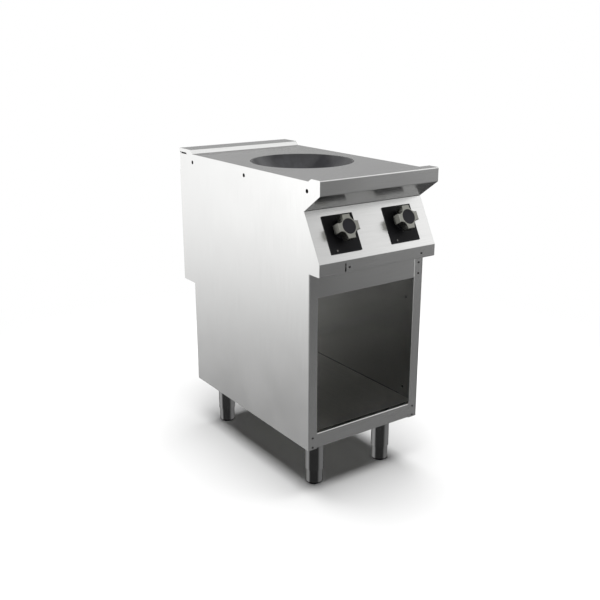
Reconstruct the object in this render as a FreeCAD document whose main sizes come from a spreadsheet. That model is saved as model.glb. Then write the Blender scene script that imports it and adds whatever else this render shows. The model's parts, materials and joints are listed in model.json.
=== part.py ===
import FreeCAD, Part

# Floor-standing induction wok cooker: a sunken glass wok bowl in a folded worktop, a sloped
# control panel with two star knobs, an open storage compartment and four adjustable legs.
#
# Millimetres, +Z up, the front faces -Y. The origin is on the floor, midway between the sides
# and midway between the knob tips and the back. Depths are measured back from the front lip,
# and seat() moves each sub-part from there to the origin.

import math
import os
from types import SimpleNamespace

import Sketcher

Vector = FreeCAD.Vector
Rotation = FreeCAD.Rotation

DIMENSIONS = {
    # whole body
    "width": 400,
    "depth": 750,
    "origin_back": 368.5,
    "sheet": 1.5,
    "bend": 1.5,
    "fit_gap": 0.2,
    # worktop
    "top_height": 900,
    "top_sheet": 2,
    "lip_bottom": 869,
    "lip_top": 908,
    "lip_flat": 37,
    "lip_end": 50,
    "upstand_start": 667,
    "upstand_ridge": 679,
    "upstand_top": 912,
    "upstand_flange": 898,
    "link_height": 875,
    "link_first": 55,
    "link_pitch": 305,
    "link_radius": 5.75,
    # control panel
    "notch_depth": 68,
    "notch_height": 821,
    "panel_foot": 694,
    "strip_bottom": 660,
    "strip_return": 43,
    "slot_place": -115,
    "slot_width": 4.5,
    "slot_bottom": 664,
    "slot_top": 686,
    "panel_screw_height": 674.5,
    "panel_screw_left": -102,
    "panel_screw_right": 150.5,
    # cabinet
    "cabinet_front": 45.5,
    "cabinet_back": 680,
    "cabinet_bottom": 150,
    "step_height": 483,
    "vent_bottom": 844,
    "vent_top": 896,
    "vent_recess": 4,
    "vent_slot": 5,
    "vent_length": 50,
    "opening_bottom": 195,
    "opening_top": 588,
    "rail_top": 690,
    "rail_return": 15,
    "stile_width": 30,
    "stile_return": 76,
    "door_hole_back": 105,
    "door_hole_low": 225,
    "door_hole_high": 512,
    "door_hole_radius": 4,
    "tray_height": 600,
    "tray_flange": 25,
    "base_rail_place": 125,
    "base_rail_width": 80,
    # wok bowl and coil
    "bowl_back": 360,
    "bowl_radius": 150,
    "bowl_hole": 152,
    "bowl_sphere": 171,
    "bowl_centre": 985.5,
    "bowl_rim": 899.5,
    "glass": 5,
    # controls, measured on the sloped panel
    "control_left": -104,
    "control_right": 100,
    "plate_width": 100,
    "plate_length": 104,
    "plate_middle": 72,
    "plate_thickness": 2.5,
    "knob_middle": 80,
    "knob_reach": 33,
    "knob_front": 40,
    "knob_back": 15,
    "scallop_centre": 29.8,
    "scallop_radius": 18.1,
    "cap_radius": 20.5,
    "spindle_radius": 3,
    "bush_radius": 5,
    "running_gap": 0.06,
    "lamp_side": -30,
    "lamp_rise": 28,
    "lamp_radius": 2.5,
    # legs
    "leg_side": 125,
    "leg_front": 120,
    "leg_rear": 625,
    "sleeve_radius": 27,
    "sleeve_bore": 25.2,
    "sleeve_bottom": 45,
    "foot_radius": 24.5,
    "stud_radius": 5,
    # cooling fan and filter
    "fan_back": 190,
    "fan_size": 119,
    "fan_height": 25,
    "fan_bore": 56,
    "filter_front": 112,
    "filter_length": 260,
    "filter_width": 250,
    "filter_bottom": 574.5,
    "filter_height": 10,
}


class Size:
    """A length that knows its value and the spreadsheet formula that gives it."""

    def __init__(self, value, formula):
        self.value = float(value)
        self.formula = formula

    def __add__(self, other):
        other = as_size(other)
        return Size(self.value + other.value, f"({self.formula} + {other.formula})")

    def __sub__(self, other):
        other = as_size(other)
        return Size(self.value - other.value, f"({self.formula} - {other.formula})")

    def __mul__(self, factor):
        return Size(self.value * factor, f"({self.formula} * {factor:g})")

    def __truediv__(self, divisor):
        return Size(self.value / divisor, f"({self.formula} / {divisor:g})")

    def __neg__(self):
        return self * -1

    __radd__ = __add__
    __rmul__ = __mul__

    def __rsub__(self, other):
        return as_size(other) - self


def as_size(length):
    """A plain number becomes a Size whose formula is the number."""
    if isinstance(length, Size):
        return length
    return Size(length, f"({length:g})")


def make_sheet(document):
    """The spreadsheet of driving dimensions, and the same dimensions as Sizes."""
    table = document.addObject("Spreadsheet::Sheet", "dims")
    for row, (alias, value) in enumerate(DIMENSIONS.items(), start=1):
        table.set(f"A{row}", alias)
        table.set(f"B{row}", str(value))
        table.setAlias(f"B{row}", alias)
    document.recompute()
    return SimpleNamespace(**{name: Size(table.get(name), f"dims.{name}") for name in DIMENSIONS})


doc = FreeCAD.newDocument("wok_cooker")
D = make_sheet(doc)
parts = {}


# ---------------------------------------------------------------- general helpers


def bind(item, **lengths):
    """Ties properties of an object to their formulas."""
    for name, length in lengths.items():
        item.setExpression(name.replace("__", "."), as_size(length).formula)


def fix_point(sketch, geometry, vertex, point):
    """Ties one vertex of a sketch to its two sizes."""
    for kind, length in zip(("DistanceX", "DistanceY"), map(as_size, point)):
        rule = Sketcher.Constraint(kind, -1, 1, geometry, vertex, length.value)
        number = sketch.addConstraint(rule)
        sketch.setExpression(f"Constraints[{number}]", length.formula)


def draw_line(sketch, points, closed=True):
    """Straight edges through the points, joined end to end."""
    points = [tuple(map(as_size, point)) for point in points]
    spots = [Vector(x.value, y.value, 0) for x, y in points]
    first = sketch.GeometryCount
    count = len(points) if closed else len(points) - 1
    for index in range(count):
        edge = Part.LineSegment(spots[index], spots[(index + 1) % len(points)])
        sketch.addGeometry(edge, False)
    joints = count if closed else count - 1
    for index in range(joints):
        after = first + (index + 1) % count
        sketch.addConstraint(Sketcher.Constraint("Coincident", first + index, 2, after, 1))
    for index, point in enumerate(points):
        if index < count:
            fix_point(sketch, first + index, 1, point)
        else:
            fix_point(sketch, first + index - 1, 2, point)


def draw_circle(sketch, centre, radius):
    """A circle with its centre and radius tied to their sizes."""
    x, y = map(as_size, centre)
    radius = as_size(radius)
    circle = Part.Circle(Vector(x.value, y.value, 0), Vector(0, 0, 1), radius.value)
    number = sketch.addGeometry(circle, False)
    fix_point(sketch, number, 3, (x, y))
    rule = sketch.addConstraint(Sketcher.Constraint("Radius", number, radius.value))
    sketch.setExpression(f"Constraints[{rule}]", radius.formula)


def rectangle(x_low, x_high, y_low, y_high):
    """Corners of a rectangle, anticlockwise."""
    return [(x_low, y_low), (x_high, y_low), (x_high, y_high), (x_low, y_high)]


def make_body(name):
    return doc.addObject("PartDesign::Body", name + "_body")


def sketch_in(body, plane, level=0):
    """A sketch on one of the body's origin planes, moved along the plane's normal."""
    sketch = body.newObject("Sketcher::SketchObject", body.Name + "_sketch")
    support = next(item for item in body.Origin.OriginFeatures if item.Role == plane)
    sketch.AttachmentSupport = [(support, "")]
    sketch.MapMode = "FlatFace"
    bind(sketch, AttachmentOffset__Base__z=level)
    return sketch


def pad(body, plane, level, thickness, outline=None, circles=(), more=()):
    """Adds a slab with an outline or a round one, and holes of any kind inside it."""
    sketch = sketch_in(body, plane, level)
    for points in ([outline] if outline else []) + list(more):
        draw_line(sketch, points)
    for centre, radius in circles:
        draw_circle(sketch, centre, radius)
    slab = body.newObject("PartDesign::Pad", body.Name + "_pad")
    slab.Profile = sketch
    bind(slab, Length=thickness)
    return slab


def pocket(body, plane, level, thickness, outline=None, circles=()):
    """Cuts a slab out of the body, from the level along the plane's normal."""
    before = measured(body).Volume
    sketch = sketch_in(body, plane, level)
    if outline:
        draw_line(sketch, outline)
    for centre, radius in circles:
        draw_circle(sketch, centre, radius)
    cut = body.newObject("PartDesign::Pocket", body.Name + "_pocket")
    cut.Profile = sketch
    cut.Reversed = True
    bind(cut, Length=thickness)
    if measured(body).Volume >= before:
        raise ValueError(f"{cut.Name} cuts nothing")
    return cut


def turn(body, outline):
    """Adds a solid of revolution about Z. The outline's points are (radius, height)."""
    sketch = sketch_in(body, "XZ_Plane")
    draw_line(sketch, outline)
    solid = body.newObject("PartDesign::Revolution", body.Name + "_turned")
    solid.Profile = sketch
    solid.ReferenceAxis = (sketch, ["V_Axis"])
    solid.Angle = 360
    return solid


def measured(item):
    doc.recompute()
    return item.Shape


def edges_along(shape, axis, spots, tolerance=0.05):
    """Names of the straight edges along an axis that pass through any of the spots."""
    others = [number for number in range(3) if number != axis]
    names = []
    for number, edge in enumerate(shape.Edges, start=1):
        if len(edge.Vertexes) != 2:
            continue
        ends = [vertex.Point for vertex in edge.Vertexes]
        if any(abs(ends[0][other] - ends[1][other]) > tolerance for other in others):
            continue
        place = [ends[0][other] for other in others]
        near = (max(abs(a - b) for a, b in zip(place, spot)) < tolerance for spot in spots)
        if any(near):
            names.append(f"Edge{number}")
    return names


def soften(body, feature, kind, size, axis, spots):
    """Fillets or chamfers the edges of a feature that run along an axis at the spots."""
    names = edges_along(measured(feature), axis, spots)
    if len(names) < len(spots):
        raise ValueError(f"{body.Name} lacks an edge to soften")
    finish = body.newObject(f"PartDesign::{kind}", body.Name + "_edge")
    finish.Base = (feature, names)
    bind(finish, **{"Radius" if kind == "Fillet" else "Size": size})
    return finish


def primitive(kind, name, at=(0, 0, 0), rotation=None, **lengths):
    """A Part primitive with its sizes tied to their formulas."""
    item = doc.addObject(f"Part::{kind}", name)
    bind(item, **lengths)
    spot = Vector(*(as_size(length).value for length in at))
    item.Placement = FreeCAD.Placement(spot, rotation or Rotation())
    return item


def boolean(kind, name, base, tool):
    """Part::Cut or Part::Common of two objects."""
    result = doc.addObject(f"Part::{kind}", name)
    result.Base = base
    result.Tool = tool
    return result


def together(kind, name, items):
    """Part::MultiFuse or Part::Compound of several objects."""
    result = doc.addObject(f"Part::{kind}", name)
    if kind == "Compound":
        result.Links = items
    else:
        result.Shapes = items
    return result


def seat(name, item, x=0, back=0, z=0, rotation=None):
    """Names a sub-part and places it. back is its depth behind the front lip."""
    item.Label = name
    spot = (as_size(x).value, as_size(back).value - D.origin_back.value, as_size(z).value)
    item.Placement = FreeCAD.Placement(Vector(*spot), rotation or Rotation())
    parts[name] = item
    return item


# ---------------------------------------------------------------- folded sheet metal


def bend_radius(line, number, outer, inner):
    """Radius on the line's own side of a bend. The sheet's thickness lies to the line's right."""
    (y0, z0), (y1, z1), (y2, z2) = line[number - 1 : number + 2]
    left_turn = (y1 - y0) * (z2 - z1) - (z1 - z0) * (y2 - y1) > 0
    return inner if left_turn else outer


def lies_right(shape, line, thickness):
    """Whether a flat shape lies on the right of the line's first edge."""
    (y0, z0), (y1, z1) = [tuple(as_size(length).value for length in point) for point in line[:2]]
    reach = as_size(thickness).value / 2 / math.dist((y0, z0), (y1, z1))
    probe = Vector(0, (y0 + y1) / 2 + (z1 - z0) * reach, (z0 + z1) / 2 - (y1 - y0) * reach)
    return shape.distToShape(Part.Vertex(probe))[0] < 0.01


def folded_sheet(name, line, thickness, x_low, x_high):
    """Sheet folded along a line of (depth, height) points and drawn out across the width."""
    sketch = doc.addObject("Sketcher::SketchObject", name + "_line")
    sketch.Placement.Rotation = Rotation(Vector(0, 1, 0), Vector(0, 0, 1), Vector(1, 0, 0))
    draw_line(sketch, line, closed=False)
    band = doc.addObject("Part::Offset2D", name + "_band")
    band.Source = sketch
    band.Mode = "Skin"
    band.Join = "Intersection"
    band.Fill = True
    bind(band, Value=thickness)
    if not lies_right(measured(band), line, thickness):
        bind(band, Value=-as_size(thickness))
    solid = doc.addObject("Part::Extrusion", name + "_flat")
    solid.Base = band
    solid.DirMode = "Custom"
    solid.Dir = Vector(1, 0, 0)
    solid.Solid = True
    bind(solid, LengthFwd=as_size(x_high) - x_low, Placement__Base__x=x_low)

    shape = measured(solid)
    line = [tuple(as_size(length).value for length in point) for point in line]
    thickness = as_size(thickness).value
    inner = D.bend.value
    outer = inner + thickness
    edges = []
    for number, edge in enumerate(shape.Edges, start=1):
        ends = [vertex.Point for vertex in edge.Vertexes]
        if abs(ends[0].y - ends[1].y) + abs(ends[0].z - ends[1].z) > 0.01:
            continue
        place = (ends[0].y, ends[0].z)
        gaps = [math.dist(place, point) for point in line]
        nearest = gaps.index(min(gaps))
        if nearest in (0, len(line) - 1) or gaps[nearest] > 3 * thickness:
            continue
        own_side = bend_radius(line, nearest, outer, inner)
        radius = own_side if gaps[nearest] < 0.01 else outer + inner - own_side
        edges.append((number, radius, radius))
    bent = doc.addObject("Part::Fillet", name + "_bent")
    bent.Base = solid
    bent.Edges = edges
    return bent


def cylinder_along(name, axis, at, radius, length):
    """Cylinder along X, Y or Z, starting at a point."""
    turns = {
        "x": Rotation(Vector(0, 1, 0), 90),
        "y": Rotation(Vector(1, 0, 0), -90),
        "z": Rotation(),
    }
    return primitive("Cylinder", name, at, turns[axis], Radius=radius, Height=length)


def drilled(name, item, tools):
    """The item with the tools cut out of it."""
    return boolean("Cut", name, item, together("Compound", name + "_tools", tools))


INNER = D.width / 2 - D.sheet
SIDES = {"left": -1, "right": 1}

# worktop: front lip, sloped underside, cooking surface and rear upstand in one sheet
worktop_line = [
    (D.notch_depth, D.notch_height),
    (0, D.lip_bottom),
    (0, D.lip_top),
    (D.lip_flat, D.lip_top),
    (D.lip_end, D.top_height),
    (D.upstand_start, D.top_height),
    (D.upstand_ridge, D.upstand_top),
    (D.depth, D.upstand_top),
    (D.depth, D.upstand_flange),
]
worktop_sheet = folded_sheet("worktop", worktop_line, D.top_sheet, -INNER, INNER)
bowl_cutter = cylinder_along("bowl_cutter", "z", (0, D.bowl_back, 880), D.bowl_hole, 40)
seat("worktop", boolean("Cut", "worktop_cut", worktop_sheet, bowl_cutter))

# side panels: one flat sheet each, with the lip's, the panel's and the upstand's outline
side_outline = [
    (0, D.strip_bottom),
    (0, D.panel_foot),
    (D.notch_depth, D.notch_height),
    (0, D.lip_bottom),
    (0, D.lip_top),
    (D.lip_flat, D.lip_top),
    (D.lip_end, D.top_height),
    (D.upstand_start, D.top_height),
    (D.upstand_ridge, D.upstand_top),
    (D.depth, D.upstand_top),
    (D.depth, D.vent_top + D.vent_slot),
    (D.depth - D.vent_length + D.vent_slot, D.vent_top + D.vent_slot),
    (D.depth - D.vent_length, D.vent_top),
    (D.depth - D.vent_recess, D.vent_top),
    (D.depth - D.vent_recess, D.vent_bottom),
    (D.depth, D.vent_bottom),
    (D.depth, D.step_height),
    (D.cabinet_back, D.step_height),
    (D.cabinet_back, D.cabinet_bottom),
    (D.cabinet_front, D.cabinet_bottom),
    (D.cabinet_front, D.strip_bottom),
]
link_holes = [((D.link_first + D.link_pitch * step, D.link_height), D.link_radius) for step in range(3)]
folds = D.bend + D.sheet
for side, sign in SIDES.items():
    body = make_body(f"side_panel_{side}")
    level = INNER if sign > 0 else -D.width / 2
    flat = pad(body, "YZ_Plane", level, D.sheet, side_outline, link_holes)
    round_spots = [(0, D.lip_bottom.value), (0, D.lip_top.value), (0, D.panel_foot.value)]
    round_spots.append((0, D.strip_bottom.value))
    round_spots.append((D.depth.value, D.upstand_top.value))
    soften(body, flat, "Fillet", folds, 0, round_spots)
    seat(f"side_panel_{side}", body)

# control panel: the sloped face, the strip under it and a flange back to the cabinet
slope = math.atan2(D.notch_depth.value, D.notch_height.value - D.panel_foot.value)
seam = 0.8
panel_line = [
    (D.notch_depth - seam * math.sin(slope), D.notch_height - seam * math.cos(slope)),
    (0, D.panel_foot),
    (0, D.strip_bottom),
    (D.strip_return, D.strip_bottom),
]
panel_turn = Rotation(Vector(1, 0, 0), 90 - math.degrees(slope))


def on_panel(x, rise, out):
    """A point on the sloped panel: across, up the slope from its foot, and out of its face."""
    back = rise * math.sin(slope) - out * math.cos(slope)
    height = D.panel_foot.value + rise * math.cos(slope) + out * math.sin(slope)
    return (x, back, height)


def seat_on_panel(name, item, x, rise):
    """Places a sub-part whose own Z stands out of the sloped panel."""
    x, back, height = on_panel(as_size(x).value, as_size(rise).value, 0)
    return seat(name, item, x, back, height, panel_turn)


CONTROLS = {"left": D.control_left, "right": D.control_right}
THROUGH = 6
panel_sheet = folded_sheet("control_panel", list(reversed(panel_line)), D.sheet, -INNER, INNER)
panel_tools = []
for side, across in CONTROLS.items():
    for what, shift, rise, radius in (
        ("bush", 0, D.knob_middle, D.bush_radius + D.fit_gap),
        ("lamp", D.lamp_side, D.lamp_rise, D.lamp_radius + D.fit_gap),
    ):
        spot = on_panel((across + shift).value, rise.value, -THROUGH / 2)
        hole = primitive("Cylinder", f"{what}_hole_{side}", spot, panel_turn, Radius=radius, Height=THROUGH)
        panel_tools.append(hole)
slot = primitive(
    "Box",
    "strip_slot",
    (D.slot_place - D.slot_width / 2, -THROUGH / 2, D.slot_bottom),
    Length=D.slot_width,
    Width=THROUGH,
    Height=D.slot_top - D.slot_bottom,
)
panel_tools.append(slot)
SCREW_RADIUS = 1.9
SCREW_HEAD_RADIUS = 2.8
SCREW_HEAD_HEIGHT = 1.2
SCREW_LENGTH = 3.2
for side, across in (("left", D.panel_screw_left), ("right", D.panel_screw_right)):
    start = (across, -THROUGH / 2, D.panel_screw_height)
    panel_tools.append(cylinder_along(f"strip_hole_{side}", "y", start, SCREW_RADIUS + D.fit_gap, THROUGH))
seat("control_panel", drilled("control_panel_cut", panel_sheet, panel_tools))

# stiles: L-shaped posts whose front faces lie over the ends of the rails
stile_inner = D.width / 2 - D.stile_width
post_edge = INNER - D.fit_gap
inner_edge = post_edge - D.sheet - D.fit_gap
stile_back = D.cabinet_front + D.stile_return
rail_front = D.cabinet_front + D.sheet
# only the right post carries screws at its top
SCREW_HEIGHTS = {"left": (185.5, 156.6), "right": (633, 601, 185.5, 156.6)}
frame_screws = [(SIDES[side], height) for side, heights in SCREW_HEIGHTS.items() for height in heights]
SCREW_ACROSS = 185
EDGE_ROUND = 1.2


def screw_cutters(name):
    """Clearance holes for the frame screws, through the stiles and the rails behind them."""
    tools = []
    for number, (sign, height) in enumerate(frame_screws):
        start = (sign * SCREW_ACROSS, D.cabinet_front - 1, height)
        radius = SCREW_RADIUS + D.fit_gap
        tools.append(cylinder_along(f"{name}_hole_{number}", "y", start, radius, THROUGH))
    return tools


for side, sign in SIDES.items():
    body = make_body(f"stile_{side}")
    outline = [
        (stile_inner * sign, D.cabinet_front),
        (post_edge * sign, D.cabinet_front),
        (post_edge * sign, stile_back),
        ((post_edge - D.sheet) * sign, stile_back),
        ((post_edge - D.sheet) * sign, rail_front),
        (stile_inner * sign, rail_front),
    ]
    post = pad(body, "XY_Plane", D.cabinet_bottom, D.rail_top - D.cabinet_bottom, outline)
    fold = (post_edge.value * sign, D.cabinet_front.value)
    folded = soften(body, post, "Fillet", D.sheet, 2, [fold])
    free_edge = (stile_inner.value * sign, D.cabinet_front.value)
    soften(body, folded, "Fillet", EDGE_ROUND, 2, [free_edge])
    tools = screw_cutters(f"stile_{side}")
    for number, height in enumerate((D.door_hole_low, D.door_hole_high)):
        start = (INNER * sign - 5, D.door_hole_back, height)
        tools.append(cylinder_along(f"door_{side}_{number}", "x", start, D.door_hole_radius, 10))
    seat(f"stile_{side}", drilled(f"stile_{side}_cut", body, tools))

# rails: the top rail has a return along its lower edge, the bottom rail along both edges
rail_back = rail_front + D.rail_return
top_rail_line = [
    (rail_back, D.opening_top),
    (rail_front, D.opening_top),
    (rail_front, D.rail_top),
]
bottom_rail_line = [
    (rail_back, D.cabinet_bottom),
    (rail_front, D.cabinet_bottom),
    (rail_front, D.opening_bottom),
    (rail_back, D.opening_bottom),
]
for name, line in (("top_rail", top_rail_line), ("bottom_rail", bottom_rail_line)):
    rail = folded_sheet(name, line, D.sheet, -inner_edge, inner_edge)
    seat(name, drilled(f"{name}_cut", rail, screw_cutters(name)))

# cabinet floor, which meets the walls behind the posts, and the two channels that carry the legs
body = make_body("cabinet_floor")
floor_level = D.opening_bottom - D.sheet
floor_front = rail_back + 0.3
floor_step = stile_back + D.fit_gap
floor_rear = D.cabinet_back - D.sheet - 0.3
wall_edge = INNER - D.fit_gap
floor_outline = [
    (-inner_edge, floor_front),
    (inner_edge, floor_front),
    (inner_edge, floor_step),
    (wall_edge, floor_step),
    (wall_edge, floor_rear),
    (-wall_edge, floor_rear),
    (-wall_edge, floor_step),
    (-inner_edge, floor_step),
]
pad(body, "XY_Plane", floor_level, D.sheet, floor_outline)
seat("cabinet_floor", body)

CHANNEL_FRONT = 66
CHANNEL_BACK = 676
LEG_SHEET = 2
for side, sign in SIDES.items():
    body = make_body(f"base_rail_{side}")
    low = D.base_rail_place - D.base_rail_width / 2
    high = D.base_rail_place + D.base_rail_width / 2
    outline = [
        (low * sign, floor_level),
        (low * sign, D.cabinet_bottom),
        (high * sign, D.cabinet_bottom),
        (high * sign, floor_level),
        ((high - LEG_SHEET) * sign, floor_level),
        ((high - LEG_SHEET) * sign, D.cabinet_bottom + LEG_SHEET),
        ((low + LEG_SHEET) * sign, D.cabinet_bottom + LEG_SHEET),
        ((low + LEG_SHEET) * sign, floor_level),
    ]
    pad(body, "XZ_Plane", -CHANNEL_BACK, CHANNEL_BACK - CHANNEL_FRONT, outline)
    leg_hole = D.stud_radius + D.fit_gap
    leg_holes = [((D.leg_side * sign, place), leg_hole) for place in (D.leg_front, D.leg_rear)]
    pocket(body, "XY_Plane", D.cabinet_bottom - 1, LEG_SHEET + 2, circles=leg_holes)
    seat(f"base_rail_{side}", body)

# back: the compartment's rear wall, and an upper panel that steps out over the service duct
body = make_body("back_panel_lower")
back_outline = rectangle(-wall_edge, wall_edge, D.cabinet_bottom + 1, D.tray_height - 0.3)
pad(body, "XZ_Plane", -D.cabinet_back, D.sheet, back_outline)
seat("back_panel_lower", body)

GLAND_ACROSS = 120
GLAND_BACK = 716
GLAND_HOLE = 12.2
EARTH_ACROSS = 60
EARTH_HOLE = 3.2
upper_line = [
    (D.depth, D.vent_bottom),
    (D.depth, D.step_height),
    (D.cabinet_back + D.fit_gap, D.step_height),
]
upper_sheet = folded_sheet("back_panel_upper", upper_line, D.sheet, -INNER, INNER)
upper_tools = [
    cylinder_along("gland_hole", "z", (GLAND_ACROSS, GLAND_BACK, D.step_height - 2), GLAND_HOLE, THROUGH),
    cylinder_along("earth_hole", "z", (EARTH_ACROSS, GLAND_BACK, D.step_height - 2), EARTH_HOLE, THROUGH),
]
seat("back_panel_upper", drilled("back_panel_upper_cut", upper_sheet, upper_tools))

# exhaust grille: a slotted strip under the rear upstand
body = make_body("rear_grille")
SLOT_COUNT = 18
SLOT_PITCH = 20
slot_rows = []
for number in range(SLOT_COUNT):
    middle = (number - (SLOT_COUNT - 1) / 2) * SLOT_PITCH
    slot_rows.append(rectangle(middle - 6, middle + 6, D.vent_bottom + 10, D.vent_top - 10))
grille_outline = rectangle(-INNER, INNER, D.vent_bottom - 6, D.vent_top)
pad(body, "XZ_Plane", -(D.depth - D.sheet - 0.1), D.sheet, grille_outline, more=slot_rows)
seat("rear_grille", body)

# electronics tray: the compartment's ceiling
tray_front = rail_front + D.sheet + 0.5
tray_back = D.cabinet_back - 0.5
tray_line = [
    (tray_front, D.tray_height + D.tray_flange),
    (tray_front, D.tray_height),
    (tray_back, D.tray_height),
    (tray_back, D.tray_height + D.tray_flange),
]
tray_sheet = folded_sheet("electronics_tray", list(reversed(tray_line)), D.sheet, -inner_edge, inner_edge)
intake = cylinder_along("intake_hole", "z", (0, D.fan_back, D.tray_height - 2), D.fan_bore - 2, THROUGH)
seat("electronics_tray", boolean("Cut", "electronics_tray_cut", tray_sheet, intake))


# ---------------------------------------------------------------- wok bowl and coil


def bowl_layer(name, inner, outer, edge, low, high, hole=None):
    """Part of a spherical shell under the bowl, out to an edge radius, with a hole in its middle."""
    shell = boolean(
        "Cut",
        name + "_shell",
        primitive("Sphere", name + "_outside", (0, 0, D.bowl_centre), Radius=outer),
        primitive("Sphere", name + "_inside", (0, 0, D.bowl_centre), Radius=inner),
    )
    drum = primitive("Cylinder", name + "_drum", (0, 0, low), Radius=edge, Height=as_size(high) - low)
    if hole is not None:
        core = primitive("Cylinder", name + "_core", (0, 0, low), Radius=hole, Height=as_size(high) - low)
        drum = boolean("Cut", name + "_ring", drum, core)
    return boolean("Common", name + "_layer", shell, drum)


LAYER_LOW = 780
glass_outer = D.bowl_sphere + D.glass
insulation_inner = glass_outer + 1
insulation_outer = insulation_inner + 6
coil_inner = insulation_outer + 1.5
coil_outer = coil_inner + 5
carrier_outer = coil_outer + 3.5
ferrite_outer = carrier_outer + 6
SENSOR_HOLE = 11

bowl = bowl_layer("wok_bowl", D.bowl_sphere, glass_outer, D.bowl_radius, LAYER_LOW, D.bowl_rim)
seat("wok_bowl", bowl, back=D.bowl_back)
blanket = bowl_layer("insulation", insulation_inner, insulation_outer, 138, LAYER_LOW, 876, SENSOR_HOLE)
seat("insulation", blanket, back=D.bowl_back)
windings = [
    bowl_layer("coil_inner", coil_inner, coil_outer, 72, LAYER_LOW, 880, 24),
    bowl_layer("coil_outer", coil_inner, coil_outer, 130, LAYER_LOW, 880, 80),
]
seat("coil_winding", together("Compound", "coil_winding_pair", windings), back=D.bowl_back)
CARRIER_EDGE = 149
carrier = bowl_layer(
    "coil_carrier", coil_outer + 0.5, carrier_outer, CARRIER_EDGE, LAYER_LOW, 875, SENSOR_HOLE
)
seat("coil_carrier", carrier, back=D.bowl_back)

FERRITE_LENGTH = 270
FERRITE_WIDTH = 14
ferrite_corner = Vector(-FERRITE_LENGTH / 2, -FERRITE_WIDTH / 2, LAYER_LOW)
ferrite_shell = bowl_layer("ferrite", carrier_outer + 0.5, ferrite_outer, 135, LAYER_LOW, 880, 34)
arms = [
    primitive(
        "Box",
        f"ferrite_arm_{number}",
        Rotation(Vector(0, 0, 1), 45 * number).multVec(ferrite_corner),
        Rotation(Vector(0, 0, 1), 45 * number),
        Length=FERRITE_LENGTH,
        Width=FERRITE_WIDTH,
        Height=120,
    )
    for number in range(4)
]
ferrite_star = together("MultiFuse", "ferrite_star", arms)
seat("ferrite_bars", boolean("Common", "ferrite_bars_cut", ferrite_shell, ferrite_star), back=D.bowl_back)

# seal between the glass, the worktop and the ring that holds the bowl
underside = D.top_height - D.top_sheet
RING_LIP = 876
RING_INNER = 141
RING_WALL = 154
RING_OUTER = 170
body = make_body("bowl_ring")
turn(
    body,
    [
        (RING_INNER, RING_LIP),
        (RING_WALL + 2, RING_LIP),
        (RING_WALL + 2, underside - 2),
        (RING_OUTER, underside - 2),
        (RING_OUTER, underside),
        (RING_WALL, underside),
        (RING_WALL, RING_LIP + 2),
        (RING_INNER, RING_LIP + 2),
    ],
)
seat("bowl_ring", body, back=D.bowl_back)

body = make_body("bowl_seal")
turn(
    body,
    [
        (RING_INNER + 2.4, RING_LIP + 2.2),
        (RING_WALL - 0.2, RING_LIP + 2.2),
        (RING_WALL - 0.2, underside - 0.2),
        (D.bowl_hole - 0.15, underside - 0.2),
        (D.bowl_hole - 0.15, D.bowl_rim),
        (D.bowl_radius + 0.15, D.bowl_rim),
        (D.bowl_radius + 0.15, 893),
        (RING_INNER + 2.4, 883),
    ],
)
seat("bowl_seal", body, back=D.bowl_back)

BRACKET_WIDTH = 20
BRACKET_LOW = 866
BRACKET_FACE = 172
brackets = []
for number in range(4):
    body = make_body(f"coil_bracket_{number}")
    hook = [
        (CARRIER_EDGE + 0.05, BRACKET_LOW),
        (BRACKET_FACE + 2, BRACKET_LOW),
        (BRACKET_FACE + 2, underside - 0.1),
        (BRACKET_FACE + 14, underside - 0.1),
        (BRACKET_FACE + 14, underside - 2.1),
        (BRACKET_FACE + 4, underside - 2.1),
        (BRACKET_FACE + 4, BRACKET_LOW - 2),
        (CARRIER_EDGE + 0.05, BRACKET_LOW - 2),
    ]
    pad(body, "XZ_Plane", -BRACKET_WIDTH / 2, BRACKET_WIDTH, hook)
    body.Placement.Rotation = Rotation(Vector(0, 0, 1), 45 + 90 * number)
    brackets.append(body)
seat("coil_brackets", together("Compound", "coil_bracket_set", brackets), back=D.bowl_back)

body = make_body("temperature_sensor")
carrier_low = (D.bowl_centre - carrier_outer).value
sensor_tip = (D.bowl_centre - glass_outer).value - 0.3
turn(
    body,
    [
        (0, carrier_low - 14),
        (3, carrier_low - 14),
        (3, carrier_low - 3.4),
        (17, carrier_low - 3.4),
        (17, carrier_low - 0.4),
        (9, carrier_low - 0.4),
        (9, sensor_tip),
        (0, sensor_tip),
    ],
)
seat("temperature_sensor", body, back=D.bowl_back)


# ---------------------------------------------------------------- controls


plate_low = D.plate_middle - D.plate_length / 2 - D.knob_middle
plate_high = plate_low + D.plate_length
lamp_spot = (D.lamp_side, D.lamp_rise - D.knob_middle)
bush_hole = D.bush_radius + D.fit_gap
spindle_bore = D.spindle_radius + D.running_gap
SWITCH_HALF = 20
SWITCH_BACK = -36
NUT_RADIUS = 8
COLLAR_BASE = 3.2
COLLAR_ROOF = 12
lamps = []
nuts = []


def hexagon(radius):
    """Corners of a hexagon about the origin."""
    angles = [math.radians(60 * corner) for corner in range(6)]
    return [(radius * math.cos(angle), radius * math.sin(angle)) for angle in angles]


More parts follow.
